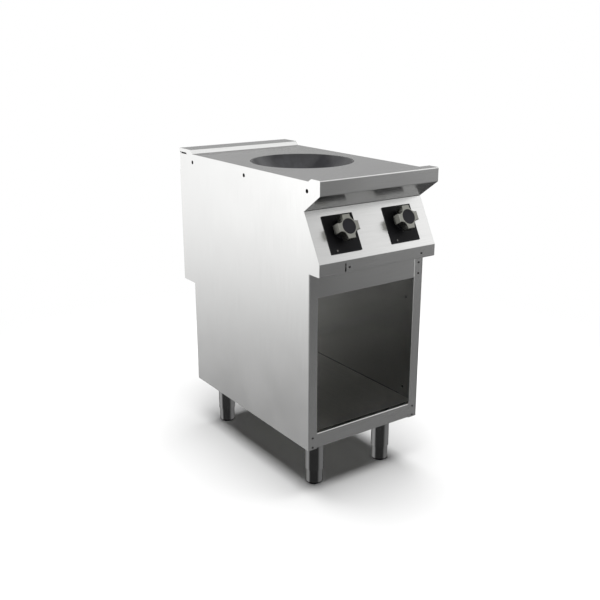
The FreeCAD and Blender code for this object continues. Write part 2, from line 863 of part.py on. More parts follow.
def make_control(side, across):
    """One rotary control: plate, switch and nut on the panel; knob, cap, collar and spindle turn."""
    body = make_body(f"bezel_plate_{side}")
    face = rectangle(-D.plate_width / 2, D.plate_width / 2, plate_low, plate_high)
    holes = [((0, 0), bush_hole), (lamp_spot, D.lamp_radius + D.fit_gap)]
    slab = pad(body, "XY_Plane", 0, D.plate_thickness, face, holes)
    corners = [(x * D.plate_width.value / 2, y.value) for x in (-1, 1) for y in (plate_low, plate_high)]
    soften(body, slab, "Fillet", 2, 2, corners)
    seat_on_panel(f"bezel_plate_{side}", body, across, D.knob_middle)

    body = make_body(f"switch_{side}")
    square = rectangle(-SWITCH_HALF, SWITCH_HALF, -SWITCH_HALF, SWITCH_HALF)
    pad(body, "XY_Plane", SWITCH_BACK, -SWITCH_BACK - D.sheet - D.fit_gap, square)
    neck_length = D.plate_thickness + 6 + D.sheet + D.fit_gap
    pad(body, "XY_Plane", -D.sheet - D.fit_gap, neck_length, circles=[((0, 0), D.bush_radius)])
    pocket(body, "XY_Plane", SWITCH_BACK + 4, 60, circles=[((0, 0), spindle_bore)])
    seat_on_panel(f"switch_{side}", body, across, D.knob_middle)

    body = make_body(f"spindle_{side}")
    pad(body, "XY_Plane", SWITCH_BACK + 5, 34 - SWITCH_BACK - 5, circles=[((0, 0), D.spindle_radius)])
    seat_on_panel(f"spindle_{side}", body, across, D.knob_middle)

    body = make_body(f"knob_{side}")
    reach = D.knob_reach
    height = D.knob_front - D.knob_back
    square = rectangle(-reach, reach, -reach, reach)
    star = pad(body, "XY_Plane", D.knob_back, height, square)
    middle = D.scallop_centre
    scallops = [((middle * i, middle * j), D.scallop_radius) for i in (-1, 1) for j in (-1, 1)]
    pocket(body, "XY_Plane", D.knob_back - 1, height + 2, circles=scallops)
    pocket(body, "XY_Plane", D.knob_back - 1, 35 - D.knob_back.value + 1, circles=[((0, 0), spindle_bore)])
    recess = pocket(body, "XY_Plane", D.knob_front - 2.5, 5, circles=[((0, 0), D.cap_radius + 0.3)])
    chamfer_face_edges(body, recess, D.knob_front.value, 1.2)
    seat_on_panel(f"knob_{side}", body, across, D.knob_middle)

    body = make_body(f"knob_cap_{side}")
    disc = pad(body, "XY_Plane", D.knob_front - 2.5, 3, circles=[((0, 0), D.cap_radius)])
    chamfer_face_edges(body, disc, D.knob_front.value + 0.5, 0.6)
    seat_on_panel(f"knob_cap_{side}", body, across, D.knob_middle)

    body = make_body(f"knob_collar_{side}")
    turn(
        body,
        [
            (12, COLLAR_BASE),
            (24, COLLAR_BASE),
            (22.5, D.knob_back),
            (spindle_bore, D.knob_back),
            (spindle_bore, COLLAR_ROOF),
            (12, COLLAR_ROOF),
        ],
    )
    seat_on_panel(f"knob_collar_{side}", body, across, D.knob_middle)

    body = make_body(f"switch_nut_{side}")
    pad(body, "XY_Plane", 0, 3, hexagon(NUT_RADIUS), circles=[((0, 0), D.bush_radius + 0.1)])
    body.Placement = FreeCAD.Placement(
        Vector(*on_panel(across.value, D.knob_middle.value, D.plate_thickness.value + 0.1)), panel_turn
    )
    nuts.append(body)

    body = make_body(f"pilot_lamp_{side}")
    pad(body, "XY_Plane", -12, 12 + D.plate_thickness + 0.8, circles=[((0, 0), D.lamp_radius)])
    spot = on_panel((across + D.lamp_side).value, D.lamp_rise.value, 0)
    body.Placement = FreeCAD.Placement(Vector(*spot), panel_turn)
    lamps.append(body)


def chamfer_face_edges(body, feature, level, size):
    """Chamfers the outer edges of the flat face that lies at a level."""
    shape = measured(feature)
    flat = [item for item in shape.Faces if item.BoundBox.ZLength < 0.001]
    face = next(item for item in flat if abs(item.BoundBox.ZMin - level) < 0.01)
    rim = face.OuterWire.Edges
    names = [
        f"Edge{n}"
        for n, edge in enumerate(shape.Edges, start=1)
        if any(edge.isSame(other) for other in rim)
    ]
    finish = body.newObject("PartDesign::Chamfer", body.Name + "_rim")
    finish.Base = (feature, names)
    bind(finish, Size=size)
    return finish


for side, across in CONTROLS.items():
    make_control(side, across)
seat("switch_nuts", together("Compound", "switch_nut_pair", nuts))
seat("pilot_lamps", together("Compound", "pilot_lamp_pair", lamps))


# ---------------------------------------------------------------- power electronics and air


GENERATOR_FRONT = 275
GENERATOR_BACK = 575
GENERATOR_HALF = 150
GENERATOR_LOW = D.tray_height.value + 2
GENERATOR_HIGH = GENERATOR_LOW + 118
GENERATOR_SHEET = 1.2
box_outline = rectangle(-GENERATOR_HALF, GENERATOR_HALF, GENERATOR_FRONT, GENERATOR_BACK)
body = make_body("generator_base")
pad(body, "XY_Plane", GENERATOR_LOW, GENERATOR_HIGH - GENERATOR_LOW, box_outline)
edge = GENERATOR_SHEET
hollow = rectangle(
    -GENERATOR_HALF + edge, GENERATOR_HALF - edge, GENERATOR_FRONT + edge, GENERATOR_BACK - edge
)
pocket(body, "XY_Plane", GENERATOR_LOW + edge, 200, hollow)
window = rectangle(-50, 50, GENERATOR_LOW + 35, GENERATOR_LOW + 95)
pocket(body, "XZ_Plane", -(GENERATOR_BACK + 5), GENERATOR_BACK - GENERATOR_FRONT + 10, window)
seat("generator_base", body)

body = make_body("generator_cover")
pad(body, "XY_Plane", GENERATOR_HIGH + 0.2, GENERATOR_SHEET, box_outline)
seat("generator_cover", body)

BOARD_LEVEL = GENERATOR_LOW + 14
body = make_body("circuit_board")
board = rectangle(-135, 135, GENERATOR_FRONT + 12, GENERATOR_BACK - 12)
posts = [(x, y) for x in (-125, 125) for y in (GENERATOR_FRONT + 22, GENERATOR_BACK - 22)]
pad(body, "XY_Plane", BOARD_LEVEL, 1.6, board, [(post, 2) for post in posts])
seat("circuit_board", body)
body = make_body("heat_sink")
FIN_COUNT = 11
FIN_PITCH = 9
FIN_WIDTH = 2
SINK_LOW = BOARD_LEVEL + 22
SINK_HALF = FIN_PITCH * (FIN_COUNT - 1) / 2 + FIN_WIDTH / 2
sink_outline = [(-SINK_HALF, SINK_LOW), (SINK_HALF, SINK_LOW)]
for number in reversed(range(FIN_COUNT)):
    middle = (number - (FIN_COUNT - 1) / 2) * FIN_PITCH
    sink_outline.append((middle + FIN_WIDTH / 2, SINK_LOW + 48))
    sink_outline.append((middle - FIN_WIDTH / 2, SINK_LOW + 48))
    if number:
        sink_outline.append((middle - FIN_WIDTH / 2, SINK_LOW + 8))
        sink_outline.append((middle - FIN_PITCH + FIN_WIDTH / 2, SINK_LOW + 8))
pad(body, "XZ_Plane", -520, 190, sink_outline)
seat("heat_sink", body)

modules = [
    primitive(
        "Box", f"power_module_{n}", (-40, 360 + 70 * n, BOARD_LEVEL + 1.7), Length=80, Width=44, Height=20.1
    )
    for n in range(2)
]
seat("power_modules", together("Compound", "power_module_pair", modules))
capacitors = [
    primitive("Cylinder", f"capacitor_{n}", (-100, 330 + 50 * n, BOARD_LEVEL + 1.7), Radius=19, Height=55)
    for n in range(4)
]
seat("filter_capacitors", together("Compound", "capacitor_set", capacitors))
# fan: square frame with three struts, and a rotor on a short shaft
FAN_LOW = (D.tray_height + D.sheet + D.fit_gap).value
HUB_RADIUS = 18
STRUT_COUNT = 3
STRUT_TOP = 5
SHAFT_RADIUS = 2.5
BLADE_COUNT = 7
BLADE_TIP = 53
frame_square = primitive(
    "Box",
    "fan_square",
    (-D.fan_size / 2, -D.fan_size / 2, 0),
    Length=D.fan_size,
    Width=D.fan_size,
    Height=D.fan_height,
)
frame_bore = primitive("Cylinder", "fan_hole", (0, 0, -1), Radius=D.fan_bore, Height=D.fan_height + 2)
frame_ring = boolean("Cut", "fan_ring", frame_square, frame_bore)
struts = []
for number in range(STRUT_COUNT):
    turned = Rotation(Vector(0, 0, 1), 360 / STRUT_COUNT * number + 30)
    struts.append(primitive("Box", f"fan_strut_{number}", (0, -3, 0), turned, Length=57, Width=6, Height=4))
hub_plate = primitive("Cylinder", "fan_hub_plate", Radius=HUB_RADIUS, Height=STRUT_TOP)
spider = together("MultiFuse", "fan_spider", [frame_ring, hub_plate] + struts)
shaft_hole = primitive(
    "Cylinder", "fan_shaft_hole", (0, 0, -1), Radius=SHAFT_RADIUS + D.running_gap, Height=10
)
seat("fan_frame", boolean("Cut", "fan_frame_cut", spider, shaft_hole), back=D.fan_back, z=FAN_LOW)

rotor = [
    primitive("Cylinder", "rotor_hub", (0, 0, STRUT_TOP + 1), Radius=HUB_RADIUS, Height=17),
    primitive("Cylinder", "rotor_shaft", (0, 0, 1), Radius=SHAFT_RADIUS, Height=8),
]
for number in range(BLADE_COUNT):
    around = Rotation(Vector(0, 0, 1), 360 / BLADE_COUNT * number)
    lean = around.multiply(Rotation(Vector(1, 0, 0), 45))
    root = around.multVec(Vector(HUB_RADIUS - 2, 0, STRUT_TOP + 9.5))
    corner = root + lean.multVec(Vector(0, -9.5, -0.8))
    length = BLADE_TIP - HUB_RADIUS + 2
    rotor.append(primitive("Box", f"blade_{number}", corner, lean, Length=length, Width=19, Height=1.6))
seat("fan_rotor", together("MultiFuse", "fan_rotor_whole", rotor), back=D.fan_back, z=FAN_LOW)

# intake filter in two guide rails under the tray
GUIDE_HALF = D.filter_width.value / 2 + 0.6
filter_back = D.filter_front + D.filter_length
guides = []
for sign in SIDES.values():
    body = make_body("filter_guide")
    outline = [
        (sign * GUIDE_HALF, D.tray_height - 0.1),
        (sign * (GUIDE_HALF + 1.5), D.tray_height - 0.1),
        (sign * (GUIDE_HALF + 1.5), D.filter_bottom - 2.1),
        (sign * (GUIDE_HALF - 10), D.filter_bottom - 2.1),
        (sign * (GUIDE_HALF - 10), D.filter_bottom - 0.6),
        (sign * GUIDE_HALF, D.filter_bottom - 0.6),
    ]
    pad(body, "XZ_Plane", -filter_back, D.filter_length, outline)
    guides.append(body)
seat("filter_guides", together("Compound", "filter_guide_pair", guides))

body = make_body("air_filter")
filter_outline = rectangle(-D.filter_width / 2, D.filter_width / 2, D.filter_front, filter_back)
pad(body, "XY_Plane", D.filter_bottom, D.filter_height, filter_outline)
mesh_area = rectangle(
    -D.filter_width / 2 + 14, D.filter_width / 2 - 14, D.filter_front + 14, filter_back - 14
)
pocket(body, "XY_Plane", D.filter_bottom + D.filter_height / 2 + 1, 20, mesh_area)
pocket(body, "XY_Plane", D.filter_bottom - 10, 14, mesh_area)
seat("air_filter", body)

# mains terminals, cable entry and earth stud at the rear
TERMINAL_BACK = 625
TERMINAL_LOW = FAN_LOW
body = make_body("terminal_block")
teeth = rectangle(85, 160, TERMINAL_BACK, TERMINAL_BACK + 30)
pad(body, "XY_Plane", TERMINAL_LOW, 22, teeth)
for number in range(5):
    left = 87 + 15 * number
    well = rectangle(left, left + 11, TERMINAL_BACK + 4, TERMINAL_BACK + 26)
    pocket(body, "XY_Plane", TERMINAL_LOW + 12, 20, well)
seat("terminal_block", body)

GLAND_BORE = 7.5
body = make_body("cable_gland")
turn(
    body,
    [
        (GLAND_BORE, -24),
        (13, -24),
        (15, -21),
        (15, -0.1),
        (12, -0.1),
        (12, 12),
        (GLAND_BORE, 12),
    ],
)
seat("cable_gland", body, x=GLAND_ACROSS, back=GLAND_BACK, z=D.step_height)

body = make_body("earth_stud")
turn(
    body,
    [
        (0, -20),
        (3, -20),
        (3, -2.6),
        (7, -2.6),
        (7, -0.1),
        (3, -0.1),
        (3, 8),
        (0, 8),
    ],
)
seat("earth_stud", body, x=EARTH_ACROSS, back=GLAND_BACK, z=D.step_height)


# ---------------------------------------------------------------- legs


SLEEVE_CAP = 4
BOSS_RADIUS = 9
BOSS_BOTTOM = 75
FOOT_TOP = 125
FOOT_WALL = 2
PAD_HEIGHT = 4
SCREW_TOP = 140


def make_leg(corner, x, back):
    """A sleeve bolted under the cabinet, and a foot that screws out of it."""
    top = D.cabinet_bottom
    sleeve = make_body(f"leg_sleeve_{corner}")
    turn(
        sleeve,
        [
            (D.sleeve_bore, D.sleeve_bottom),
            (D.sleeve_radius, D.sleeve_bottom),
            (D.sleeve_radius, top),
            (D.stud_radius, top),
            (D.stud_radius, top + 14),
            (0, top + 14),
            (0, SCREW_TOP + 2),
            (D.stud_radius + D.running_gap, SCREW_TOP + 2),
            (D.stud_radius + D.running_gap, BOSS_BOTTOM),
            (BOSS_RADIUS, BOSS_BOTTOM),
            (BOSS_RADIUS, top - SLEEVE_CAP),
            (D.sleeve_bore, top - SLEEVE_CAP),
        ],
    )
    seat(f"leg_sleeve_{corner}", sleeve, x, back)

    foot = make_body(f"foot_{corner}")
    turn(
        foot,
        [
            (0, 0),
            (D.foot_radius - 3, 0),
            (D.foot_radius - 1, 1),
            (D.foot_radius - 1, PAD_HEIGHT),
            (D.foot_radius, PAD_HEIGHT),
            (D.foot_radius, FOOT_TOP),
            (D.foot_radius - FOOT_WALL, FOOT_TOP),
            (D.foot_radius - FOOT_WALL, PAD_HEIGHT + 4),
            (D.stud_radius, PAD_HEIGHT + 4),
            (D.stud_radius, SCREW_TOP),
            (0, SCREW_TOP),
        ],
    )
    seat(f"foot_{corner}", foot, x, back)


for place, back in (("front", D.leg_front), ("rear", D.leg_rear)):
    for side, sign in SIDES.items():
        make_leg(f"{place}_{side}", D.leg_side * sign, back)


# ---------------------------------------------------------------- screws


def screw(name, x, face, height):
    """A pan-head screw driven back into a front face."""
    head_start = (x, face - SCREW_HEAD_HEIGHT, height)
    head = cylinder_along(name + "_head", "y", head_start, SCREW_HEAD_RADIUS, SCREW_HEAD_HEIGHT)
    shank = cylinder_along(name + "_shank", "y", (x, face, height), SCREW_RADIUS, SCREW_LENGTH)
    return together("MultiFuse", name, [head, shank])


screws = [
    screw(f"frame_screw_{number}", sign * SCREW_ACROSS, D.cabinet_front, height)
    for number, (sign, height) in enumerate(frame_screws)
]
for number, across in enumerate((D.panel_screw_left, D.panel_screw_right)):
    screws.append(screw(f"panel_screw_{number}", across, as_size(0), D.panel_screw_height))
seat("frame_screws", together("Compound", "frame_screw_set", screws))


# ---------------------------------------------------------------- check and write


doc.recompute()
for item in doc.Objects:
    if "Invalid" in item.State or "Error" in item.State:
        raise ValueError(f"{item.Name} failed: {item.State}")
os.makedirs("parts", exist_ok=True)
for name, item in sorted(parts.items()):
    shape = item.Shape
    if shape.isNull() or not shape.isValid() or not shape.Solids:
        raise ValueError(f"{name} has no valid solid")
    shape.exportStep(f"parts/{name}.step")
print(len(parts), "sub-parts")
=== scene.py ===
import json
import math

import bmesh
import bpy
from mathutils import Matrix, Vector


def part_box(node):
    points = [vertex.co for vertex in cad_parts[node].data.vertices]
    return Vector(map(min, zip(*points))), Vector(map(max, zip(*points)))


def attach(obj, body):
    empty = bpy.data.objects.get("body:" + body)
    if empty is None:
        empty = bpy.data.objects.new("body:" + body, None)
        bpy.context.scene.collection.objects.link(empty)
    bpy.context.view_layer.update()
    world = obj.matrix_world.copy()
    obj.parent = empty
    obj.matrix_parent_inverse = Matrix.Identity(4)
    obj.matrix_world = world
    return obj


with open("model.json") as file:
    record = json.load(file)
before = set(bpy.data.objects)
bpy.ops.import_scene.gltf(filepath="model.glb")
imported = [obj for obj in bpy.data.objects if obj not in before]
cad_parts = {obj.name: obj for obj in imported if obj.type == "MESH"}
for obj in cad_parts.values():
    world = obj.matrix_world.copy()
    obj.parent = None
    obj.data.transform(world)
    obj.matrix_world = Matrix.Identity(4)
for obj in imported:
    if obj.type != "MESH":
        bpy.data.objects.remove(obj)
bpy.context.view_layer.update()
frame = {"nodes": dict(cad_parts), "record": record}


# ---------------------------------------------------------------- materials


class Graph:
    """Helpers for making and joining the nodes of one tree."""

    def __init__(self, tree):
        self.tree = tree

    def node(self, kind, **settings):
        made = self.tree.nodes.new(kind)
        for key, value in settings.items():
            setattr(made, key, value)
        return made

    def link(self, source, target):
        self.tree.links.new(source, target)

    def feed(self, socket, value):
        """Gives a socket a constant, or joins it to another node's output."""
        if isinstance(value, (int, float)):
            socket.default_value = value
        else:
            self.link(value, socket)

    def math(self, operation, first, second):
        made = self.node("ShaderNodeMath", operation=operation)
        self.feed(made.inputs[0], first)
        self.feed(made.inputs[1], second)
        return made.outputs[0]

    def ramp(self, value, start, end, low, high, kind="SMOOTHSTEP"):
        """low where the value is at start, high where it is at end, and smooth between."""
        made = self.node("ShaderNodeMapRange", interpolation_type=kind)
        self.link(value, made.inputs["Value"])
        for socket, number in (("From Min", start), ("From Max", end), ("To Min", low), ("To Max", high)):
            self.feed(made.inputs[socket], number)
        return made.outputs["Result"]

    def mix(self, share, first, second):
        """first where the share is 0, second where it is 1."""
        made = self.node("ShaderNodeMix")
        for socket, value in (("Factor", share), ("A", first), ("B", second)):
            self.feed(made.inputs[socket], value)
        return made.outputs["Result"]

    def mix_shaders(self, share, first, second):
        made = self.node("ShaderNodeMixShader")
        self.link(share, made.inputs[0])
        self.link(first, made.inputs[1])
        self.link(second, made.inputs[2])
        return made.outputs[0]


# the part of a noise texture's output that most of its values lie in, and its roughness
NOISE_LOW = 0.3
NOISE_HIGH = 0.7
NOISE_ROUGHNESS = 0.55


class Material(Graph):
    """A node material around one Principled shader, in object space."""

    def __init__(self, name, metallic=0.0, roughness=0.5, **sockets):
        self.data = bpy.data.materials.new(name)
        self.data.use_nodes = True
        super().__init__(self.data.node_tree)
        self.shader = self.tree.nodes["Principled BSDF"]
        self.set("Metallic", metallic)
        self.set("Roughness", roughness)
        for socket, value in sockets.items():
            self.set(socket.replace("_", " "), value)
        self.place = self.node("ShaderNodeTexCoord").outputs["Object"]

    def set(self, socket, value):
        self.shader.inputs[socket].default_value = value

    def noise(self, stretch, detail=3.0):
        """Noise whose cells are finer along the axes with the larger stretch, in cells per metre."""
        mapping = self.node("ShaderNodeMapping")
        mapping.inputs["Scale"].default_value = stretch
        self.link(self.place, mapping.inputs["Vector"])
        texture = self.node("ShaderNodeTexNoise")
        texture.inputs["Scale"].default_value = 1.0
        texture.inputs["Detail"].default_value = detail
        texture.inputs["Roughness"].default_value = NOISE_ROUGHNESS
        self.link(mapping.outputs["Vector"], texture.inputs["Vector"])
        return texture.outputs["Fac"]

    def span(self, value, low, high):
        """A noise value, spread smoothly from low to high."""
        return self.ramp(value, NOISE_LOW, NOISE_HIGH, low, high)

    def gloss(self, value, low, high):
        """The shader's roughness, from low to high with a noise value."""
        self.link(self.span(value, low, high), self.shader.inputs["Roughness"])

    def colours(self, value, *stops):
        """The base colour, from a value through (position, colour) stops."""
        ramp = self.node("ShaderNodeValToRGB")
        elements = ramp.color_ramp.elements
        while len(elements) < len(stops):
            elements.new(0.5)
        for element, (position, colour) in zip(elements, stops):
            element.position = position
            element.color = (*colour, 1.0)
        self.link(value, ramp.inputs["Fac"])
        self.link(ramp.outputs["Color"], self.shader.inputs["Base Color"])

    def bump(self, height, distance, strength=1.0):
        bump = self.node("ShaderNodeBump")
        bump.inputs["Distance"].default_value = distance
        bump.inputs["Strength"].default_value = strength
        self.link(height, bump.inputs["Height"])
        self.link(bump.outputs["Normal"], self.shader.inputs["Normal"])


# cells of texture per metre: brushed hairlines, and the slow changes in gloss over each kind of surface
LINES_ACROSS = 900.0
LINES_ALONG = 9.0
SHEET_PATCHES = 5.0
MOULDED_PATCHES = 30.0
TUBE_PATCHES = 14.0
# how far the roughness varies about its middle, as a share of it
SHEET_CHANGE = 0.12
MOULDED_CHANGE = 0.15
# bump strengths
LINE_BUMP = 0.35
PEBBLE_BUMP = 0.5
WOVEN_BUMP = 0.8


def shades(colour, change):
    """A colour, a little darker and a little lighter."""
    return [tuple(channel * factor for channel in colour) for factor in (1 - change, 1 + change)]


def brushed(name, colour, roughness, grain, change=0.05, depth=2e-5):
    """Satin sheet: fine hairlines along one axis, with slow changes in gloss from handling."""
    made = Material(name, metallic=1.0, roughness=roughness)
    stretch = [LINES_ACROSS] * 3
    stretch["XYZ".index(grain)] = LINES_ALONG
    lines = made.noise(stretch, detail=4.0)
    dark, light = shades(colour, change)
    made.colours(lines, (NOISE_LOW, dark), (NOISE_HIGH, light))
    patches = made.noise([SHEET_PATCHES] * 3, detail=2.0)
    made.gloss(patches, roughness * (1 - SHEET_CHANGE), roughness * (1 + SHEET_CHANGE))
    made.bump(lines, depth, LINE_BUMP)
    return made.data


def moulded(name, colour, roughness, grain=1800.0, depth=3e-5, change=0.18, metallic=0.0, shine=0.5):
    """A fine pebbled skin, as on moulded plastic, cast metal and felt."""
    made = Material(name, metallic=metallic, roughness=roughness, Specular_IOR_Level=shine)
    pebbles = made.noise([grain] * 3, detail=2.0)
    dark, light = shades(colour, change)
    made.colours(pebbles, (0.35, dark), (0.65, light))
    patches = made.noise([MOULDED_PATCHES] * 3)
    made.gloss(patches, roughness * (1 - MOULDED_CHANGE), roughness * (1 + MOULDED_CHANGE))
    made.bump(pebbles, depth, PEBBLE_BUMP)
    return made.data


STEEL = (0.60, 0.60, 0.595)
INNER_STEEL = (0.78, 0.78, 0.745)

steel_across = brushed("steel_across", STEEL, 0.24, "X")
steel_upright = brushed("steel_upright", STEEL, 0.24, "Z", change=0.03)
steel_inner = brushed("steel_inner", INNER_STEEL, 0.32, "Y")
knob_metal = moulded("knob_metal", (0.22, 0.22, 0.20), 0.30, grain=1400.0, change=0.10, metallic=1.0)
knob_black = moulded("knob_black", (0.010, 0.010, 0.012), 0.50, shine=0.15)
plate_black = moulded("plate_black", (0.007, 0.007, 0.008), 0.42, grain=2400.0, depth=1e-5, shine=0.10)
inner_plastic = moulded("inner_plastic", (0.055, 0.055, 0.060), 0.5)
seal_black = moulded("seal_black", (0.015, 0.015, 0.015), 0.62)
# screw heads near black: painted shade standing in for the dark of their hex sockets, spread over each
# whole head
screw_steel = moulded("screw_steel", (0.06, 0.06, 0.06), 0.38, metallic=1.0)
lamp_lens = moulded("lamp_lens", (0.14, 0.135, 0.125), 0.22, change=0.06)
ferrite = moulded("ferrite", (0.10, 0.10, 0.11), 0.55, grain=900.0)
blanket = moulded("blanket", (0.78, 0.77, 0.73), 0.95, grain=500.0, depth=4e-4, change=0.08)
board = moulded("board", (0.03, 0.17, 0.09), 0.35, grain=300.0, depth=1e-5)
sink = brushed("sink", (0.66, 0.66, 0.67), 0.34, "Y")


def make_glass():
    """Black glass ceramic: a hard gloss over a very faintly mottled body."""
    made = Material("black_glass", roughness=0.12, Specular_IOR_Level=0.28)
    streaks = made.noise((70.0, 70.0, 6.0), detail=2.0)
    made.colours(streaks, (NOISE_LOW, (0.011, 0.011, 0.012)), (NOISE_HIGH, (0.015, 0.015, 0.017)))
    made.gloss(streaks, 0.10, 0.16)
    return made.data


# heights on a leg: its length, the top of the foot, and of the painted contact shadow under it
LEG_SHOWN = 0.150
FOOT_SHOWN = 0.045
CONTACT_SHADOW_SHOWN = 0.003
# how unevenly the bands end, and how softly, as a share of the leg
BAND_WAVE = 0.0004
BAND_BLEND = 0.02


def make_leg_steel():
    """Polished tube: bright sleeve, darker foot, and a black painted contact shadow where it meets the
    floor.
    """
    made = Material("leg_steel", metallic=1.0, roughness=0.08)
    apart = made.node("ShaderNodeSeparateXYZ")
    made.link(made.place, apart.inputs[0])
    lines = made.noise((LINES_ACROSS, LINES_ACROSS, LINES_ALONG))
    height = made.math("ADD", apart.outputs[2], made.span(lines, -BAND_WAVE, BAND_WAVE))
    tall = made.math("DIVIDE", height, LEG_SHOWN)
    # ring: the black painted contact shadow where the foot meets the floor
    ring, foot, sleeve = (0.03, 0.03, 0.03), (0.44, 0.44, 0.44), (0.50, 0.50, 0.50)
    join = FOOT_SHOWN / LEG_SHOWN
    contact_shadow_top = CONTACT_SHADOW_SHOWN / LEG_SHOWN
    made.colours(
        tall,
        (0.0, ring),
        (contact_shadow_top, ring),
        (contact_shadow_top + BAND_BLEND, foot),
        (join, foot),
        (join + BAND_BLEND, sleeve),
        (1.0, sleeve),
    )
    patches = made.noise([TUBE_PATCHES] * 3, detail=2.0)
    made.gloss(patches, 0.07, 0.10)
    made.bump(lines, 6e-6, LINE_BUMP)
    return made.data


def make_winding():
    """Bundled copper strands, in rings about the bowl's axis."""
    made = Material("copper", metallic=1.0, roughness=0.36)
    bowl_low, bowl_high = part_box("wok_bowl")
    middle = (bowl_low + bowl_high) / 2
    mapping = made.node("ShaderNodeMapping")
    mapping.inputs["Location"].default_value = (-middle.x, -middle.y, 0.0)
    made.link(made.place, mapping.inputs["Vector"])
    rings = made.node("ShaderNodeTexWave", wave_type="RINGS", rings_direction="Z")
    rings.inputs["Scale"].default_value = 60.0
    rings.inputs["Distortion"].default_value = 0.4
    made.link(mapping.outputs["Vector"], rings.inputs["Vector"])
    made.colours(rings.outputs["Fac"], (0.0, (0.30, 0.13, 0.06)), (1.0, (0.72, 0.40, 0.22)))
    made.bump(rings.outputs["Fac"], 6e-4, WOVEN_BUMP)
    return made.data


def make_mesh():
    """Knitted metal mesh: two crossing sets of fine waves."""
    made = Material("filter_mesh", metallic=1.0, roughness=0.38)
    heights = []
    for direction in ("X", "Y"):
        wave = made.node("ShaderNodeTexWave", bands_direction=direction)
        wave.inputs["Scale"].default_value = 90.0
        wave.inputs["Distortion"].default_value = 1.2
        made.link(made.place, wave.inputs["Vector"])
        heights.append(wave.outputs["Fac"])
    weave = made.math("MAXIMUM", *heights)
    made.colours(weave, (0.2, (0.20, 0.20, 0.20)), (0.9, (0.68, 0.68, 0.67)))
    made.bump(weave, 5e-4, WOVEN_BUMP)
    return made.data


FINISH = {
    "stainless": steel_across,
    "stainless_inner": steel_inner,
    "screw_steel": screw_steel,
    "black_glass": make_glass(),
    "seal_black": seal_black,
    "control_black": plate_black,
    "knob_metal": knob_metal,
    "knob_black": knob_black,
    "polished_steel": make_leg_steel(),
    "lamp_lens": lamp_lens,
    "inner_plastic": inner_plastic,
    "copper": make_winding(),
    "ferrite": ferrite,
    "insulation": blanket,
    "board_green": board,
    "heat_sink": sink,
    "filter_mesh": make_mesh(),
}
# sheets whose grain or finish differs from their slot's
SPECIAL = {
    "side_panel_left": steel_upright,
    "side_panel_right": steel_upright,
    "back_panel_lower": steel_upright,
    "back_panel_upper": steel_upright,
    "cabinet_floor": steel_inner,
    "stile_left": steel_upright,
    "stile_right": steel_upright,
}
for part in frame["record"]["subparts"]:
    item = frame["nodes"][part["node"]]
    finish = SPECIAL.get(part["node"], FINISH[part["material_slot"]])
    for material_slot in item.material_slots:
        material_slot.material = finish


# ---------------------------------------------------------------- small pieces

MM = 0.001

# the painted joint shadow: its radius, its gap to each end, and its steps round the hollow
JOINT = 0.0012
JOINT_END = 0.0008
JOINT_STEPS = 5

# domed black plugs that paint the shade inside the door holes: their gap, dome, depth and sides
HOLE_SHADE_GAP = 0.00005
HOLE_SHADE_DOME = 0.0007
HOLE_SHADE_DEPTH = 0.0014
HOLE_SHADE_SIDES = 32
# the dome's shoulder: its share of the radius and of the dome's height
HOLE_SHADE_SHOULDER = 0.6
HOLE_SHADE_SHOULDER_RISE = 0.8

# a dark strip behind the side panel's slot, painted shade: its set-back, size, step and tops
SHADE_STRIP_SET_BACK = 0.0065
SHADE_STRIP_THICK = 0.003
SHADE_STRIP_LENGTH = 0.110
SHADE_STRIP_HEIGHT = 0.050
SHADE_STRIP_REAR_GAP = 0.0035
SHADE_STRIP_STEP = 0.062
SHADE_STRIP_JOIN = 0.0002
SHADE_STRIP_LOW_TOP = 0.8965
SHADE_STRIP_HIGH_TOP = 0.9075


def new_piece(name, built, material):
    """A mesh from bmesh, with one material, that rides on the cabinet."""
    mesh = bpy.data.meshes.new(name)
    bmesh.ops.recalc_face_normals(built, faces=built.faces)
    built.to_mesh(mesh)
    built.free()
    mesh.materials.append(material)
    item = bpy.data.objects.new(name, mesh)
    bpy.context.scene.collection.objects.link(item)
    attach(item, "cabinet")


def sweep(built, profile, start, end):
    """A closed prism: the profile's (across, up) points, run back from start to end."""
    ends = [[built.verts.new((across, back, up)) for across, up in profile] for back in (start, end)]
    count = len(profile)
    for first in range(count):
        second = (first + 1) % count
        built.faces.new((ends[0][first], ends[0][second], ends[1][second], ends[1][first]))
    built.faces.new(ends[0])
    built.faces.new(reversed(ends[1]))


def make_joint_shadow_strip(side, sign):
    """A dark strip in the joint between the compartment's floor and a wall, with a hollow face: painted
    shade standing in for the shadow in the joint's gap.
    """
    floor_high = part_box("cabinet_floor")[1]
    post_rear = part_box(f"stile_{side}")[1].y
    wall = floor_high.x
    profile = [(sign * wall, floor_high.z)]
    for step in range(JOINT_STEPS + 1):
        turn = math.pi / 2 * step / JOINT_STEPS
        inward = JOINT * (1 - math.sin(turn))
        rise = JOINT * (1 - math.cos(turn))
        profile.append((sign * (wall - inward), floor_high.z + rise))
    built = bmesh.new()
    sweep(built, profile, post_rear + JOINT_END, floor_high.y - JOINT_END)
    # the strip's black is painted shade in the joint between floor and wall
    new_piece(f"joint_shadow_strip_{side}", built, seal_black)


